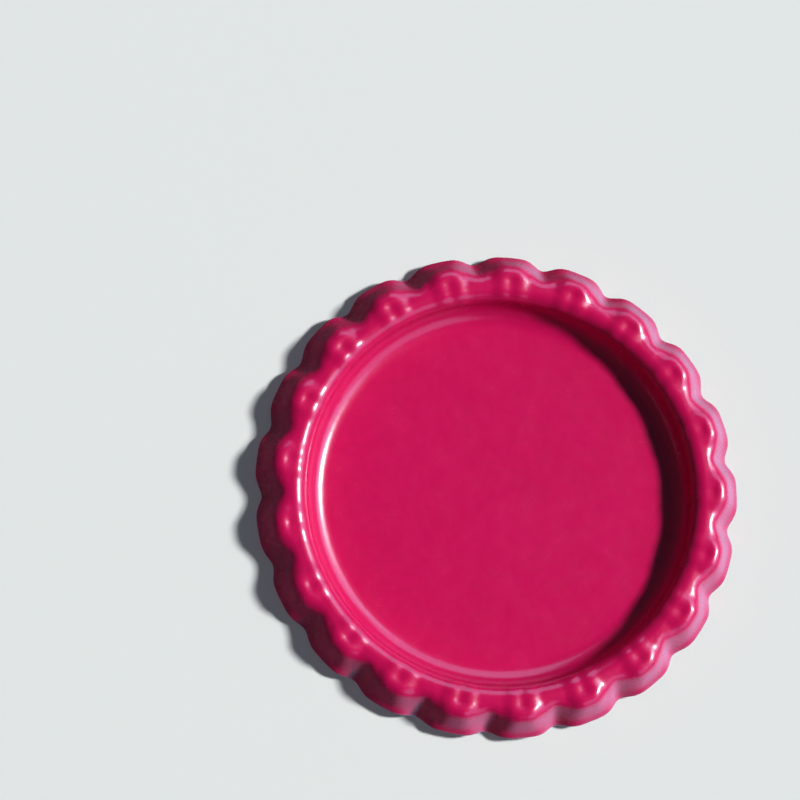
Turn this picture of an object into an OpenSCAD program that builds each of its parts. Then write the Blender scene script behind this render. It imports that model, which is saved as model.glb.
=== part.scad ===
// Flattened crown cap: one steel pressing, open side up.
// A shallow dish whose wall rolls over into a 21-flute skirt that is folded
// outward. The disc underside lies on z = 0 and the open side faces +Z.
// Units are millimetres.

/* [Overall] */
// Diameter over the flute crests at the cut edge
outer_d = 34; // [28:0.2:42]
// Height from the disc underside to the top of the rolled ridge, before the
// dimples that cross the ridge are pressed
height = 2.7; // [2.2:0.1:3.4]
// Thickness of the lacquered sheet
sheet_t = 0.25; // [0.2:0.01:0.3]

/* [Dish] */
// Inside radius where the floor turns up into the wall
floor_fillet_r = 1.7; // [1.4:0.05:2.1]
// Angle by which the wall leans out from the vertical
wall_lean = 10; // [6:1:14]
// Outside radius of the roll from the wall over the ridge
ridge_roll_r = 1; // [0.8:0.05:1.1]

/* [Skirt] */
// Width of the skirt, from the ridge line out to the cut edge at a flute crest
skirt_w = 2.5; // [2.3:0.05:3.1]
// Width of the level land from the ridge to the fold, at a flute crest
crest_land = 1.27; // [1.1:0.01:1.5]
// Width of the same land in the valley between two flutes
valley_land = 0.65; // [0.6:0.05:0.85]
// Fall of the valley's land from the ridge to the fold
valley_fall = 0.18; // [0.1:0.02:0.24]
// Outside radius of the fold, where the skirt turns down
fold_r = 0.95; // [0.7:0.05:1.05]
// Clearance under the cut edge at a crest, from the surface the cap lies on
edge_lift = 0.75; // [0.7:0.05:1.1]
// How much lower the cut edge hangs in a valley
valley_drop = 0.5; // [0.3:0.05:0.55]

/* [Flutes] */
// Number of flutes round the skirt
flutes = 21; // [15:1:27]
// Depth of the notch between two flutes at the cut edge
notch_depth = 0.55; // [0.35:0.05:0.7]
// Share of a flute's rise over which the valley forms at the fold; 1 is a plain wave
valley_reach = 0.75; // [0.65:0.05:1]
// Narrowness of the notch at the cut edge; 1 is a plain wave
notch_sharpness = 3; // [1.5:0.5:4]
// How soon past the land the broad valley turns into the narrow notch
narrowing_pace = 1.4; // [1:0.1:2]

/* [Dimples] */
// Depth of the dimple pressed into the land of each crest
dimple_depth = 0.15; // [0:0.01:0.18]
// Share of that depth with which the dimple crosses the ridge
dimple_ridge_share = 0.75; // [0:0.05:1]
// Distance from the ridge line to the dimple's deepest place
dimple_out = 0.4; // [0.2:0.05:0.6]
// Half width of the dimple, round the cap
dimple_half_w = 0.5; // [0.4:0.05:0.6]
// Half length of the dimple's outer end
dimple_half_l = 0.4; // [0.3:0.05:0.5]

/* [Hidden] */

enamel = [0.77, 0.08, 0.35];
dish_sides = 84;
arc_sides = 40;
half_t = sheet_t / 2;

// Radii of the section. The fillet gives way where the wall would be shorter
// than min_wall.
min_wall = 0.15;
wall_turn = 90 - wall_lean;
turn_rise = 1 - cos(wall_turn);
fillet_r = min(floor_fillet_r, (height - sheet_t - min_wall) / turn_rise - ridge_roll_r);
wall_rise = height - sheet_t - (fillet_r + ridge_roll_r) * turn_rise;
wall_run = wall_rise / tan(wall_turn);

// Dish section on the inside face of the sheet, worked inward from the ridge
wall_dir = [cos(wall_turn), sin(wall_turn)];
wall_out = [sin(wall_turn), -cos(wall_turn)];
ridge_r = outer_d / 2 - skirt_w;
floor_r = ridge_r - wall_run - (fillet_r + ridge_roll_r) * sin(wall_turn);
fillet_centre = [floor_r, sheet_t + fillet_r];
wall_foot = fillet_centre + fillet_r * wall_out;

// The skirt starts this many degrees down the fillet, inside the dish
sink = 6;
start_turn = wall_turn - sink;
mid_start = fillet_centre + (fillet_r + half_t) * [sin(start_turn), -cos(start_turn)];

// Middle line of the sheet, half a thickness outside the inside face
mid_roll_r = ridge_roll_r - half_t;
mid_fold_r = fold_r - half_t;
mid_top_z = height - half_t;
mid_foot = wall_foot + wall_out * half_t;

// Middle of the cut edge, set in so that its corners meet outer_d and edge_lift
slope = atan2(mid_top_z - edge_lift, skirt_w - crest_land);
edge_r = outer_d / 2 - half_t * sin(slope);
edge_z = edge_lift + half_t * cos(slope);

// Grid of the skirt: columns round the cap and stations from wall to cut edge
cols_per_flute = 8;
cols = cols_per_flute * flutes;
roll_steps = 4;
land_steps = 3;
fold_steps = 3;
slope_steps = 2;

// Where the dimple starts on the roll and where it deepens, from the ridge line
dimple_start = [-0.95, -0.45];
dimple_fall = [-0.3, dimple_out];

function unit(v) = v / norm(v);
function mix(a, b, k) = a + (b - a) * k;
function ease(range, u) =
    let(c = min(1, max(0, (u - range[0]) / (range[1] - range[0]))))
    c * c * (3 - 2 * c);

// Point where the line through p along direction d reaches height z
function at_height(p, d, z) = p + d * (z - p[1]) / d[1];

// Points of a rounded corner: the path p0 > p1 > p2 turned with radius r
function corner(p0, p1, p2, r, steps) =
    let(
        a = unit(p0 - p1),
        b = unit(p2 - p1),
        half = acos(a * b) / 2,
        start = p1 + a * r / tan(half),
        centre = p1 + unit(a + b) * r / sin(half),
        turn = 180 - 2 * half,
        spoke = start - centre
    )
    [for (i = [0:steps]) centre + clockwise(spoke, turn * i / steps)];

function clockwise(v, a) = [v[0] * cos(a) + v[1] * sin(a), v[1] * cos(a) - v[0] * sin(a)];

// Inner points of a straight run, both ends left out
function between(a, b, steps) = [for (i = [1:steps - 1]) mix(a, b, i / steps)];

// Middle line of the skirt at one flute phase: up the wall, over the ridge,
// along the land, over the fold and down to the cut edge
function skirt_line(land, fall, tip) =
    let(
        top = at_height(mid_foot, wall_dir, mid_top_z),
        fold = [ridge_r + land, mid_top_z - fall],
        roll_pts = corner(mid_foot, top, fold, mid_roll_r, roll_steps),
        fold_pts = corner(top, fold, tip, mid_fold_r, fold_steps),
        last = fold_pts[fold_steps]
    )
    concat(
        [mid_start],
        roll_pts,
        between(roll_pts[roll_steps], fold_pts[0], land_steps),
        fold_pts,
        between(last, tip, slope_steps),
        [tip]
    );

crest_line = skirt_line(crest_land, 0, [edge_r, edge_z]);
valley_line = skirt_line(valley_land, valley_fall, [edge_r - notch_depth, edge_z - valley_drop]);
stations = len(crest_line);
last_land = stations - 1 - fold_steps - slope_steps;

// Share of the valley line at angle a and station k: 0 on a crest, 1 in a
// valley. Valleys are broad on the land and close to narrow notches below it.
function wave(a, k) =
    let(
        s = pow(sin(flutes * a / 2), 2),
        past_land = max(0, k - last_land) / (fold_steps + slope_steps)
    )
    mix(ease([0, valley_reach], s), pow(s, notch_sharpness), min(1, narrowing_pace * past_land));

// Depth of the dimple at radius r and distance w across the flute
function dimple(r, w) =
    let(
        out = r - ridge_r,
        deepening = mix(dimple_ridge_share, 1, ease(dimple_fall, out)),
        past = max(0, out - dimple_out)
    )
    dimple_depth * ease(dimple_start, out) * deepening
        * exp(-pow(w / dimple_half_w, 2) - pow(past / dimple_half_l, 2));

// One point on the middle of the sheet, at column i and station k
function mid_point(i, k) =
    let(
        a = 360 * i / cols,
        p = mix(crest_line[k], valley_line[k], wave(a, k)),
        off = a - 360 / flutes * round(a * flutes / 360),
        dip = dimple(p[0], p[0] * off * PI / 180)
    )
    [p[0] * cos(a), p[0] * sin(a), p[1] - dip];

// Half section of the dish: floor, and the fillet band up to the wall's foot
module dish_section() {
    reach = 2 * (fillet_r + sheet_t);
    square([floor_r, sheet_t]);
    translate(fillet_centre)
        intersection() {
            difference() {
                circle(r = fillet_r + sheet_t, $fn = arc_sides);
                circle(r = fillet_r, $fn = arc_sides);
            }
            polygon([[0, 0], [0, -reach], [reach, -reach], reach * wall_out]);
        }
}

// Sheet of even thickness over the grid of middle points
module skirt() {
    mid = [for (i = [0:cols - 1]) [for (k = [0:stations - 1]) mid_point(i, k)]];
    last = stations - 1;
    normals = [for (i = [0:cols - 1]) [for (k = [0:last])
        let(
            along = mid[i][min(k + 1, last)] - mid[i][max(k - 1, 0)],
            around = mid[(i + 1) % cols][k] - mid[(i + cols - 1) % cols][k]
        )
        unit(cross(along, around))
    ]];
    // The buried start is thinner, so it lies inside the dish wall
    half = [for (k = [0:last]) k == 0 ? 0.8 * half_t : half_t];
    inside = [for (i = [0:cols - 1]) for (k = [0:last]) mid[i][k] + normals[i][k] * half[k]];
    outside = [for (i = [0:cols - 1]) for (k = [0:last]) mid[i][k] - normals[i][k] * half[k]];
    under = cols * stations;
    faces = [for (i = [0:cols - 1])
        let(a = i * stations, b = ((i + 1) % cols) * stations)
        for (f = concat(
            [for (k = [0:last - 1]) each [
                [a + k, b + k, b + k + 1],
                [a + k, b + k + 1, a + k + 1],
                [under + a + k, under + b + k + 1, under + b + k],
                [under + a + k, under + a + k + 1, under + b + k + 1]
            ]],
            [
                [a, under + a, under + b],
                [a, under + b, b],
                [a + last, b + last, under + b + last],
                [a + last, under + b + last, under + a + last]
            ]
        )) f
    ];
    polyhedron(points = concat(inside, outside), faces = faces, convexity = 6);
}

module cap_shell() {
    color(enamel)
        union() {
            rotate_extrude($fn = dish_sides) dish_section();
            skirt();
        }
}

cap_shell();
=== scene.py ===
"""Looks of a flattened crown cap: one steel pressing in gloss magenta enamel, open side up.

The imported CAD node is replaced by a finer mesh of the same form, with its cut edge rounded
and the small unevenness of a pressing, and it gets an enamel material worked out in nodes.
Lengths of the cap are in millimetres until the mesh is made, and the scene is in metres.
"""

import math

import bpy
import numpy as np
from mathutils import Matrix, Vector


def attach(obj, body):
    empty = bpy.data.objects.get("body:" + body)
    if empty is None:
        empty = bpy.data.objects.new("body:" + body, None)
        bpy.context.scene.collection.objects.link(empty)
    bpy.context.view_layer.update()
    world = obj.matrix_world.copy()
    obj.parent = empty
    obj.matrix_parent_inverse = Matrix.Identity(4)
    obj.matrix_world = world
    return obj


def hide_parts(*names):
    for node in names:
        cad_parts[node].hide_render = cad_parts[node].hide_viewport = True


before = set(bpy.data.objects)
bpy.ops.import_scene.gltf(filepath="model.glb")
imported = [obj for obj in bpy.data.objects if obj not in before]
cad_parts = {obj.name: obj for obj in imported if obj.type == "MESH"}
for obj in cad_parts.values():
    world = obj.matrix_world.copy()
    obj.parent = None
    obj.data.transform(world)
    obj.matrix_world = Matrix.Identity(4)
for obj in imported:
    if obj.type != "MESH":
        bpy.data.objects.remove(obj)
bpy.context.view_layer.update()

MM = 0.001


def linear(red, green, blue):
    """Scene-linear colour of an sRGB colour given from 0 to 255."""
    shares = [c / 255 for c in (red, green, blue)]
    return [s / 12.92 if s <= 0.04045 else ((s + 0.055) / 1.055) ** 2.4 for s in shares] + [1]


# ---------------------------------------------------------------- view

# The cap's axis as the camera sees it: its tilt, and the way it leans, in camera axes
VIEW_TILT = math.radians(13.3)
VIEW_LEAN = Vector((0.58, 0.815))
# Turn of the cap about its own axis, which puts the flutes where the view wants them
VIEW_TURN = math.radians(0.543)
VIEW_DISTANCE = 0.28
# Width of the picture at the cap, and the cap's place in it, from the picture's middle
VIEW_WIDTH = 0.0555
VIEW_OFFSET = Vector((0.00697, -0.00640))
# Height of the point on the cap's axis that the offset places, as a share of the cap's
VIEW_HEIGHT = 0.75
SENSOR_WIDTH = 36.0

# ---------------------------------------------------------------- light and surroundings

# Azimuths are measured round the cap from +X
SUN_AZIMUTH = math.radians(7.0) - VIEW_TURN
SUN_ELEVATION = math.radians(43.0)
SUN_ANGLE = math.radians(9.0)
SUN_STRENGTH = 3.9
SUN_COLOR = (1, 0.98, 0.95)
# Middle of the soft boxes and of the glow that gloss shows
BOX_AZIMUTH = math.radians(12.0) - VIEW_TURN
BOX_DISTANCE = 0.6
BOX_COLOR = (0.4, 0.94, 1.6)
# Name, turn from that middle and elevation in degrees, width and height in metres, watts
# and colour of each soft box
SOFT_BOXES = (
    ("window", 0, 37, 0.6, 0.42, 2.2, BOX_COLOR),
    ("bright_pane", 4, 43, 0.2, 0.16, 0.9, SUN_COLOR),
    ("left_box", 58, 32, 0.5, 0.36, 1.1, BOX_COLOR),
    ("right_box", -55, 30, 0.5, 0.34, 0.7, BOX_COLOR),
)
ROOM_COLOR = (0.6, 0.75, 1, 1)
ROOM_STRENGTH = 0.05
# What gloss reflects round the horizon: pale towards the sun, gloom behind
GLOW = (0.55, 1.6, 2.3, 1)
GLOOM = (0.035, 0.07, 0.09, 1)
# Turn of the glow's middle from the middle of the soft boxes
GLOW_TURN = math.radians(-26)
# Where the glow sets in and where it is full: as the cosine of the angle from its middle,
# and as the height of a unit direction
GLOW_SIDE = (-0.1, 0.8)
GLOW_HEIGHT = (0.2, -0.25)

# The table as the camera sees it and as it lights the cap, its faint glow, and the backdrop
TABLE = linear(230, 236, 236)
TABLE_BOUNCE = linear(206, 209, 211)
TABLE_GLOW = (0.05, 0.05, 0.053, 1)
BACKDROP = linear(226, 230, 232)
# Half the table's side, and how far it lies below the cap so that the two never coincide
TABLE_HALF = 0.6
TABLE_DROP = 0.02 * MM

# ---------------------------------------------------------------- sizes of the cap, in mm

# Named as in part.scad where it has the same size. The valley's land and fall and the
# narrowing pace differ a little from the values there, to bring out the rings and hollows
# of the photographed rim.
OUTER_R = 17.0
HEIGHT = 2.7
SHEET_T = 0.25
HALF_T = SHEET_T / 2
SKIRT_W = 2.5
FLOOR_FILLET_R = 1.7
# Angle through which the fillet turns the sheet up into the wall
WALL_TURN = math.radians(80.0)
RIDGE_ROLL_R = 1.0
FLUTES = 21
CREST_LAND = 1.27
VALLEY_LAND = 0.55
VALLEY_FALL = 0.28
FOLD_R = 0.95
NOTCH_DEPTH = 0.55
EDGE_LIFT = 0.75
VALLEY_DROP = 0.5
# Depth of the skirt's sag above the flared cut edge
FLARE = 0.07
# Share of a flute's rise over which the valley forms, how narrow its notch is at the cut
# edge, and how soon past the land the one turns into the other
VALLEY_REACH = 0.75
NOTCH_SHARPNESS = 3.0
NARROWING_PACE = 1.0
DIMPLE_DEPTH = 0.15
DIMPLE_RIDGE_SHARE = 0.75
DIMPLE_OUT = 0.4
DIMPLE_HALF_W = 0.5
DIMPLE_HALF_L = 0.4
# Where the dimple starts on the roll and where it deepens, from the ridge line
DIMPLE_START = (-0.95, -0.45)
DIMPLE_FALL = (-0.3, DIMPLE_OUT)
# Seed of the unevenness, and how far a flute may differ from the next: as shares of its
# notch, of the way from crest to valley and of its dimple, and as the dimple's shift
SEED = 21
NOTCH_SLACK = 0.1
REACH_SLACK = 0.05
DIMPLE_SLACK = 0.2
DIMPLE_SWAY = 0.06

# Rows of the mesh along the section, and columns round a flute and round the cap
FLOOR_ROWS = 8
FILLET_ROWS = 10
WALL_ROWS = 3
ROLL_ROWS = 12
LAND_ROWS = 10
FOLD_ROWS = 10
SLOPE_ROWS = 8
EDGE_ROWS = 6
FLUTE_COLUMNS = 28
COLUMNS = FLUTE_COLUMNS * FLUTES

# ---------------------------------------------------------------- finish of the cap

# Size in mm, detail and roughness of each noise, and the part of its range that counts
CLOUD_NOISE = (6, 3, 0.6)
CLOUD_SPAN = (0.3, 0.7)
MOTTLE_NOISE = (0.45, 2, 0.6)
MOTTLE_SPAN = (0.35, 0.65)
GLOSS_NOISE = (1.6, 3, 0.6)
GLOSS_SPAN = (0.35, 0.7)
CHIP_NOISE = (0.5, 3, 0.6)
CHIP_SPAN = (0.42, 0.62)
PEEL_NOISE = (1.1, 1, 0.4)
FINE_PEEL_NOISE = (0.35, 1, 0.5)

ENAMEL_DEEP = linear(206, 3, 84)
ENAMEL_FRESH = linear(216, 5, 92)
ENAMEL_ROUGHNESS = (0.23, 0.28)
# Radii in mm over which the smooth dish passes into the worked skirt, where the sheet was
# drawn and folded, and the roughness that the working adds
WORKED_SPAN = (14.0, 15.2)
WORKED_DULLNESS = 0.02
# Height of the orange peel in mm, in the dish and where worked, and of its fine grain as a
# share of that
PEEL_DEPTH = 0.012
WORKED_PEEL_DEPTH = 0.03
FINE_PEEL = 0.35
# Specks of dust: the cells they lie in and their radius in mm, the share of the cells that
# holds one, and the share of its radius inside which a speck is full
SPECK_SPACING = 2.6
SPECK_R = 0.1
SPECKS_KEPT = 0.16
SPECK_CORE = 0.4
# How much of the enamel a speck hides, the roughness it adds, and its height in mm
DUST = linear(236, 196, 208)
DUST_COVER = 0.5
DUST_DULLNESS = 0.3
DUST_HEIGHT = 0.008
# Bare steel on the cut edge: how metallic it is, and the roughness it adds
STEEL = linear(176, 172, 174)
STEEL_METALLIC = 0.8
STEEL_DULLNESS = 0.15


# ---------------------------------------------------------------- camera


def make_camera():
    """Camera over the open side, at the photograph's angle."""
    lean = VIEW_LEAN.normalized() * math.sin(VIEW_TILT)
    axis_seen = Vector((lean.x, lean.y, math.cos(VIEW_TILT)))
    to_camera = Vector((0, 0, 1)).rotation_difference(axis_seen).to_matrix()
    to_camera = to_camera @ Matrix.Rotation(VIEW_TURN, 3, "Z")
    to_world = to_camera.transposed()
    target = Vector((0, 0, VIEW_HEIGHT * HEIGHT * MM))
    seen = Vector((VIEW_OFFSET.x, VIEW_OFFSET.y, -VIEW_DISTANCE))
    data = bpy.data.cameras.new("view")
    data.sensor_width = SENSOR_WIDTH
    data.lens = SENSOR_WIDTH * VIEW_DISTANCE / VIEW_WIDTH
    data.clip_start = 0.01
    camera = bpy.data.objects.new("view", data)
    bpy.context.collection.objects.link(camera)
    camera.matrix_world = Matrix.Translation(target - to_world @ seen) @ to_world.to_4x4()
    bpy.context.scene.camera = camera


# ---------------------------------------------------------------- form of the cap


def unit(v):
    return v / np.linalg.norm(v)


def ease(span, u):
    """Smooth step from 0 at the span's start to 1 at its end."""
    c = np.clip((u - span[0]) / (span[1] - span[0]), 0, 1)
    return c * c * (3 - 2 * c)


def run(a, b, steps):
    """Inner points of a straight run, both ends left out."""
    return [a + (b - a) * i / steps for i in range(1, steps)]


def flared(a, b, steps):
    """Inner points of a run that starts straight, sags inward and flares out to its end."""
    along = unit(b - a)
    inward = np.array([along[1], -along[0]])
    # u * u * (1 - u) rises no higher than 4 / 27
    sag = FLARE * 27 / 4
    shares = np.arange(1, steps) / steps
    return [a + (b - a) * u + inward * sag * u * u * (1 - u) for u in shares]


def rounded(p0, p1, p2, r, steps):
    """Points of the path p0 > p1 > p2 turned clockwise at p1 with radius r."""
    a, b = unit(p0 - p1), unit(p2 - p1)
    half = math.acos(float(a @ b)) / 2
    spoke_end = p1 + a * r / math.tan(half)
    centre = p1 + unit(a + b) * r / math.sin(half)
    x, y = spoke_end - centre
    turns = np.linspace(0, math.pi - 2 * half, steps + 1)
    return [centre + (x * np.cos(t) + y * np.sin(t), y * np.cos(t) - x * np.sin(t)) for t in turns]


def section():
    """Middle line of the sheet as (radius, height): the dish, the skirt at a crest, the skirt
    in a valley, and the ridge's radius."""
    rise_share = 1 - math.cos(WALL_TURN)
    wall_rise = HEIGHT - SHEET_T - (FLOOR_FILLET_R + RIDGE_ROLL_R) * rise_share
    ridge_r = OUTER_R - SKIRT_W
    turns_run = (FLOOR_FILLET_R + RIDGE_ROLL_R) * math.sin(WALL_TURN)
    floor_r = ridge_r - wall_rise / math.tan(WALL_TURN) - turns_run
    wall_dir = np.array([math.cos(WALL_TURN), math.sin(WALL_TURN)])
    wall_out = np.array([math.sin(WALL_TURN), -math.cos(WALL_TURN)])
    centre = np.array([floor_r, SHEET_T + FLOOR_FILLET_R])
    fillet_r = FLOOR_FILLET_R + HALF_T
    foot = centre + fillet_r * wall_out
    top_z = HEIGHT - HALF_T
    top = foot + wall_dir * (top_z - foot[1]) / wall_dir[1]
    slope = math.atan2(top_z - EDGE_LIFT, SKIRT_W - CREST_LAND)
    edge = np.array([OUTER_R - HALF_T * math.sin(slope), EDGE_LIFT + HALF_T * math.cos(slope)])

    dish = [np.array([r, HALF_T]) for r in np.linspace(0, floor_r, FLOOR_ROWS + 1)[1:]]
    for a in np.linspace(0, WALL_TURN, FILLET_ROWS + 1)[1:]:
        dish.append(centre + fillet_r * np.array([math.sin(a), -math.cos(a)]))

    def skirt(land, fall, notch, drop):
        fold = np.array([ridge_r + land, top_z - fall])
        tip = edge - np.array([notch, drop])
        roll = rounded(foot, top, fold, RIDGE_ROLL_R - HALF_T, ROLL_ROWS)
        bend = rounded(top, fold, tip, FOLD_R - HALF_T, FOLD_ROWS)
        return (run(foot, roll[0], WALL_ROWS) + roll + run(roll[-1], bend[0], LAND_ROWS)
                + bend + flared(bend[-1], tip, SLOPE_ROWS) + [tip])

    crest = np.array(skirt(CREST_LAND, 0, 0, 0))
    valley = np.array(skirt(VALLEY_LAND, VALLEY_FALL, NOTCH_DEPTH, VALLEY_DROP))
    return np.array(dish), crest, valley, ridge_r


def valley_share(angle, rows):
    """Share of the valley line by column and row of the skirt: 0 on a crest, 1 in a valley.
    Valleys are broad on the land and close to narrow notches below it."""
    phase = np.sin(FLUTES * angle / 2) ** 2
    folded_rows = FOLD_ROWS + SLOPE_ROWS
    past_land = (np.arange(rows) - rows + 1 + folded_rows) / folded_rows
    late = np.clip(NARROWING_PACE * past_land, 0, 1)
    broad = ease((0, VALLEY_REACH), phase)
    narrow = phase ** NOTCH_SHARPNESS
    return np.outer(broad, 1 - late) + np.outer(narrow, late)


def dimple(out, aside):
    """Depth of a dimple as a share of its deepest, by the distance out from the ridge line
    and the distance round the cap from the dimple's middle."""
    deepening = DIMPLE_RIDGE_SHARE + (1 - DIMPLE_RIDGE_SHARE) * ease(DIMPLE_FALL, out)
    across = (aside / DIMPLE_HALF_W) ** 2
    along = (np.maximum(out - DIMPLE_OUT, 0) / DIMPLE_HALF_L) ** 2
    return ease(DIMPLE_START, out) * deepening * np.exp(-across - along)


def middle_surface():
    """Points on the middle of the sheet, by column and row."""
    dish, crest, valley, ridge_r = section()
    angle = np.arange(COLUMNS) * 2 * math.pi / COLUMNS
    pitch = 2 * math.pi / FLUTES
    crest_angle = pitch * np.round(angle / pitch)
    flute = np.round(angle / pitch).astype(int) % FLUTES
    valley_after = np.floor(angle / pitch).astype(int) % FLUTES

    # No two flutes are quite alike: notches, reach and dimples each give way a little
    uneven = np.random.default_rng(SEED)
    notch = 1 - uneven.uniform(0, NOTCH_SLACK, FLUTES)[valley_after]
    reach = uneven.uniform(0, REACH_SLACK, FLUTES)[flute]
    depth = DIMPLE_DEPTH * (1 - uneven.uniform(0, DIMPLE_SLACK, FLUTES)[flute])
    sway = uneven.uniform(-DIMPLE_SWAY, DIMPLE_SWAY, FLUTES)[flute]

    share = valley_share(angle, len(crest))
    share = share * notch[:, None] + (1 - share) * reach[:, None]
    skirt = (1 - share)[..., None] * crest + share[..., None] * valley
    radius = skirt[..., 0]
    aside = radius * (angle - crest_angle)[:, None] - sway[:, None]
    skirt[..., 1] -= depth[:, None] * dimple(radius - ridge_r, aside)

    line = np.concatenate([np.repeat(dish[None], COLUMNS, 0), skirt], 1)
    spin = np.stack([np.cos(angle), np.sin(angle)], -1)
    return np.concatenate([line[..., :1] * spin[:, None], line[..., 1:]], -1)


def sheet_normals(mid):
    """Unit normals of the middle surface, towards the open side."""
    along = np.gradient(mid, axis=1)
    around = np.roll(mid, -1, 0) - np.roll(mid, 1, 0)
    normal = np.cross(along, around)
    return normal / np.linalg.norm(normal, axis=2, keepdims=True)


def sheet_points(mid):
    """Grid of points round the sheet, by column and row: inside, rounded cut edge and
    outside. Also the share by row that says how near a point is to the bare cut."""
    normal = sheet_normals(mid)
    out = mid[:, -1] - mid[:, -2]
    out /= np.linalg.norm(out, axis=1, keepdims=True)
    turns = np.linspace(0, math.pi, EDGE_ROWS + 2)[1:-1]
    cut = [mid[:, -1] + HALF_T * (normal[:, -1] * math.cos(t) + out * math.sin(t)) for t in turns]
    inside = mid + normal * HALF_T
    outside = (mid - normal * HALF_T)[:, ::-1]
    rows = mid.shape[1]
    bare = np.concatenate([np.zeros(rows), np.sin(turns), np.zeros(rows)])
    return np.concatenate([inside, np.stack(cut, 1), outside], 1), bare


def sheet_faces(rows):
    """Quads over the grid, and a fan of triangles at each end of its columns. The middles of
    the fans follow the grid's points."""
    column = np.arange(COLUMNS)[:, None] * rows
    beside = np.roll(column, -1, 0)
    row = np.arange(rows - 1)
    quads = np.stack([column + row, column + row + 1, beside + row + 1, beside + row], -1)
    faces = quads.reshape(-1, 4).tolist()
    top = COLUMNS * rows
    bottom = top + 1
    for a, b in zip(column[:, 0].tolist(), beside[:, 0].tolist()):
        faces.append((top, a, b))
        faces.append((bottom, b + rows - 1, a + rows - 1))
    return faces


def cap_mesh():
    """Closed mesh of the sheet, with the shares of bare cut and of working at each point."""
    grid, bare = sheet_points(middle_surface())
    points = np.concatenate([grid.reshape(-1, 3), [[0, 0, SHEET_T], [0, 0, 0]]])
    mesh = bpy.data.meshes.new("cap")
    mesh.from_pydata((points * MM).tolist(), [], sheet_faces(grid.shape[1]))
    mesh.polygons.foreach_set("use_smooth", [True] * len(mesh.polygons))
    shares = {
        "bare_edge": np.append(np.tile(bare, COLUMNS), [0, 0]),
        "worked": ease(WORKED_SPAN, np.linalg.norm(points[:, :2], axis=1)),
    }
    for name, values in shares.items():
        mesh.attributes.new(name, "FLOAT", "POINT").data.foreach_set("value", values)
    mesh.update()
    return mesh


# ---------------------------------------------------------------- materials


class Graph:
    """Short ways to add the nodes of a material or of the world."""

    def __init__(self, owner, coordinates):
        owner.use_nodes = True
        self.nodes = owner.node_tree.nodes
        self.links = owner.node_tree.links
        self.place = self.nodes.new("ShaderNodeTexCoord").outputs[coordinates]

    def feed(self, socket, value):
        """Link a socket to another node's output, or set it to a plain value."""
        if isinstance(value, bpy.types.NodeSocket):
            self.links.new(value, socket)
        else:
            socket.default_value = value

    def noise(self, size_mm, detail, roughness):
        """Noise from 0 to 1, whose features are about size_mm across."""
        node = self.nodes.new("ShaderNodeTexNoise")
        self.links.new(self.place, node.inputs["Vector"])
        node.inputs["Scale"].default_value = 1 / (size_mm * MM)
        node.inputs["Detail"].default_value = detail
        node.inputs["Roughness"].default_value = roughness
        return node.outputs["Fac"]

    def fit(self, value, from_low, from_high, to_low=0.0, to_high=1.0):
        """Value moved from one range to another and held inside it."""
        node = self.nodes.new("ShaderNodeMapRange")
        self.feed(node.inputs["Value"], value)
        for socket, number in zip(("From Min", "From Max", "To Min", "To Max"),
                                  (from_low, from_high, to_low, to_high)):
            node.inputs[socket].default_value = number
        return node.outputs["Result"]

    def math(self, operation, a, b):
        """Result of one operation on two values."""
        node = self.nodes.new("ShaderNodeMath")
        node.operation = operation
        self.feed(node.inputs[0], a)
        self.feed(node.inputs[1], b)
        return node.outputs[0]

    def plus(self, a, b):
        return self.math("ADD", a, b)

    def times(self, a, b):
        return self.math("MULTIPLY", a, b)

    def blend(self, share, a, b):
        """Colour a with a share of colour b laid over it."""
        node = self.nodes.new("ShaderNodeMix")
        node.data_type = "RGBA"
        self.feed(node.inputs["Factor"], share)
        self.feed(node.inputs["A"], a)
        self.feed(node.inputs["B"], b)
        return node.outputs["Result"]

    def specks(self):
        """Share from 0 to 1 of small round specks, in some of the cells of a pattern."""
        node = self.nodes.new("ShaderNodeTexVoronoi")
        self.links.new(self.place, node.inputs["Vector"])
        node.inputs["Scale"].default_value = 1 / (SPECK_SPACING * MM)
        reach = SPECK_R / SPECK_SPACING
        dot = self.fit(node.outputs["Distance"], reach, SPECK_CORE * reach)
        parts = self.nodes.new("ShaderNodeSeparateColor")
        self.links.new(node.outputs["Color"], parts.inputs[0])
        chosen = self.math("LESS_THAN", parts.outputs["Red"], SPECKS_KEPT)
        return self.times(dot, chosen)

    def attribute(self, name):
        """Share that the mesh carries at its points under this name."""
        node = self.nodes.new("ShaderNodeAttribute")
        node.attribute_name = name
        return node.outputs["Fac"]


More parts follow.
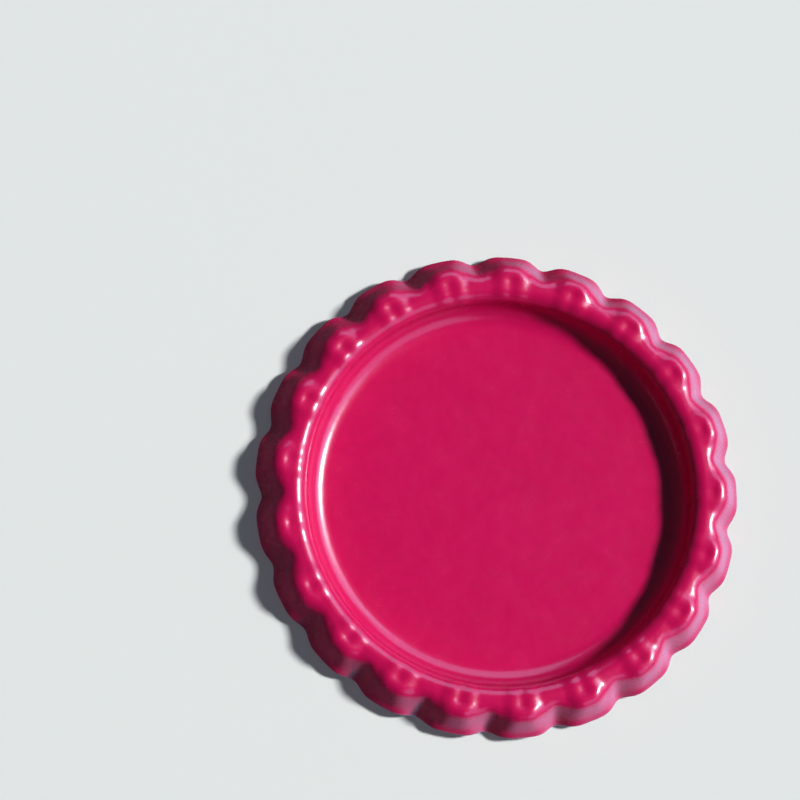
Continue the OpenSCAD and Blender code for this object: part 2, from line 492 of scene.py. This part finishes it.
def enamel():
    """Baked gloss enamel: faint orange peel and clouding, a few specks of dust, and a worn
    line of bare steel along the cut edge."""
    material = bpy.data.materials.new("gloss_magenta_enamel")
    graph = Graph(material, "Object")
    shader = graph.nodes["Principled BSDF"]
    shader.inputs["IOR"].default_value = 1.5
    shader.inputs["Specular IOR Level"].default_value = 0.35
    shader.inputs["Coat Weight"].default_value = 0.4
    shader.inputs["Coat Roughness"].default_value = 0.16

    worked = graph.attribute("worked")
    dust = graph.specks()
    chips = graph.fit(graph.noise(*CHIP_NOISE), *CHIP_SPAN)
    bare = graph.times(graph.attribute("bare_edge"), chips)

    clouds = graph.fit(graph.noise(*CLOUD_NOISE), *CLOUD_SPAN)
    mottle = graph.fit(graph.noise(*MOTTLE_NOISE), *MOTTLE_SPAN)
    tint = graph.times(graph.plus(clouds, mottle), 0.5)
    paint = graph.blend(tint, ENAMEL_DEEP, ENAMEL_FRESH)
    paint = graph.blend(graph.times(dust, DUST_COVER), paint, DUST)
    graph.feed(shader.inputs["Base Color"], graph.blend(bare, paint, STEEL))
    graph.feed(shader.inputs["Metallic"], graph.times(bare, STEEL_METALLIC))

    dull = graph.fit(graph.noise(*GLOSS_NOISE), *GLOSS_SPAN, *ENAMEL_ROUGHNESS)
    for share, added in ((dust, DUST_DULLNESS), (worked, WORKED_DULLNESS), (bare, STEEL_DULLNESS)):
        dull = graph.plus(dull, graph.times(share, added))
    graph.feed(shader.inputs["Roughness"], dull)

    fine = graph.times(graph.noise(*FINE_PEEL_NOISE), FINE_PEEL)
    peel = graph.plus(graph.noise(*PEEL_NOISE), fine)
    depth = graph.fit(worked, 0, 1, PEEL_DEPTH, WORKED_PEEL_DEPTH)
    relief = graph.plus(graph.times(peel, depth), graph.times(dust, DUST_HEIGHT))
    bump = graph.nodes.new("ShaderNodeBump")
    bump.inputs["Distance"].default_value = MM
    graph.feed(bump.inputs["Height"], relief)
    graph.feed(shader.inputs["Normal"], bump.outputs["Normal"])
    return material


def make_cap():
    """The finished cap, which stands for the CAD node."""
    cap = bpy.data.objects.new("cap", cap_mesh())
    bpy.context.collection.objects.link(cap)
    cap.data.materials.append(enamel())
    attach(cap, "root")
    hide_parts("cap_shell")


# ---------------------------------------------------------------- table, lights and room


def make_floor():
    """Plain pale table, which takes the cap's shadow and lights the cap from below. Gloss
    shows the room in its place."""
    mesh = bpy.data.meshes.new("floor")
    signs = ((-1, -1), (1, -1), (1, 1), (-1, 1))
    corners = [(x * TABLE_HALF, y * TABLE_HALF, 0) for x, y in signs]
    mesh.from_pydata(corners, [], [(0, 1, 2, 3)])
    floor = bpy.data.objects.new("floor", mesh)
    floor.location.z = -TABLE_DROP
    bpy.context.collection.objects.link(floor)
    material = bpy.data.materials.new("pale_table")
    graph = Graph(material, "Object")
    shader = graph.nodes["Principled BSDF"]
    seen = graph.nodes.new("ShaderNodeLightPath").outputs["Is Camera Ray"]
    graph.feed(shader.inputs["Base Color"], graph.blend(seen, TABLE_BOUNCE, TABLE))
    graph.feed(shader.inputs["Emission Strength"], seen)
    shader.inputs["Roughness"].default_value = 0.8
    shader.inputs["Specular IOR Level"].default_value = 0.2
    shader.inputs["Emission Color"].default_value = TABLE_GLOW
    mesh.materials.append(material)
    floor.visible_glossy = False


def direction(azimuth, elevation):
    """Unit vector towards an azimuth and an elevation, in radians."""
    flat = math.cos(elevation)
    return Vector((flat * math.cos(azimuth), flat * math.sin(azimuth), math.sin(elevation)))


def facing(out):
    """Turn of a light that lies this way from the cap and shines back at it."""
    return out.to_track_quat("Z", "Y").to_euler()


def soft_box(name, turn, elevation, width, height, energy, color):
    """Rectangular soft light that faces the cap, seen in its gloss only."""
    out = direction(BOX_AZIMUTH + math.radians(turn), math.radians(elevation))
    data = bpy.data.lights.new(name, "AREA")
    data.shape = "RECTANGLE"
    data.size, data.size_y = width, height
    data.energy = energy
    data.color = color
    box = bpy.data.objects.new(name, data)
    box.location = out * BOX_DISTANCE
    box.rotation_euler = facing(out)
    box.visible_diffuse = False
    bpy.context.collection.objects.link(box)


def make_lights():
    """One soft sun for light and shadow, and soft boxes for the highlights in the gloss."""
    data = bpy.data.lights.new("sun", "SUN")
    data.energy = SUN_STRENGTH
    data.color = SUN_COLOR
    data.angle = SUN_ANGLE
    sun = bpy.data.objects.new("sun", data)
    sun.rotation_euler = facing(direction(SUN_AZIMUTH, SUN_ELEVATION))
    bpy.context.collection.objects.link(sun)
    for values in SOFT_BOXES:
        soft_box(*values)


def make_room():
    """Dim blue room for soft light, a pale horizon on the sun's side for gloss, and a pale
    backdrop for the camera."""
    world = bpy.data.worlds.new("room")
    graph = Graph(world, "Generated")
    dim = graph.nodes["Background"]
    dim.inputs["Color"].default_value = ROOM_COLOR
    dim.inputs["Strength"].default_value = ROOM_STRENGTH

    toward_glow = graph.nodes.new("ShaderNodeVectorMath")
    toward_glow.operation = "DOT_PRODUCT"
    graph.feed(toward_glow.inputs[0], graph.place)
    toward_glow.inputs[1].default_value = direction(BOX_AZIMUTH + GLOW_TURN, 0)
    side = graph.fit(toward_glow.outputs["Value"], *GLOW_SIDE)
    height = graph.nodes.new("ShaderNodeSeparateXYZ")
    graph.feed(height.inputs[0], graph.place)
    low = graph.fit(height.outputs["Z"], *GLOW_HEIGHT)
    glow = graph.nodes.new("ShaderNodeBackground")
    graph.feed(glow.inputs["Color"], graph.blend(graph.times(side, low), GLOOM, GLOW))

    pale = graph.nodes.new("ShaderNodeBackground")
    pale.inputs["Color"].default_value = BACKDROP
    path = graph.nodes.new("ShaderNodeLightPath")
    seen = dim.outputs[0]
    for ray, background in (("Is Glossy Ray", glow), ("Is Camera Ray", pale)):
        mix = graph.nodes.new("ShaderNodeMixShader")
        graph.feed(mix.inputs[0], path.outputs[ray])
        graph.links.new(seen, mix.inputs[1])
        graph.links.new(background.outputs[0], mix.inputs[2])
        seen = mix.outputs[0]
    graph.links.new(seen, graph.nodes["World Output"].inputs["Surface"])
    bpy.context.scene.world = world


make_camera()
make_floor()
make_lights()
make_room()
make_cap()

view = bpy.context.scene.view_settings
view.view_transform = "Standard"
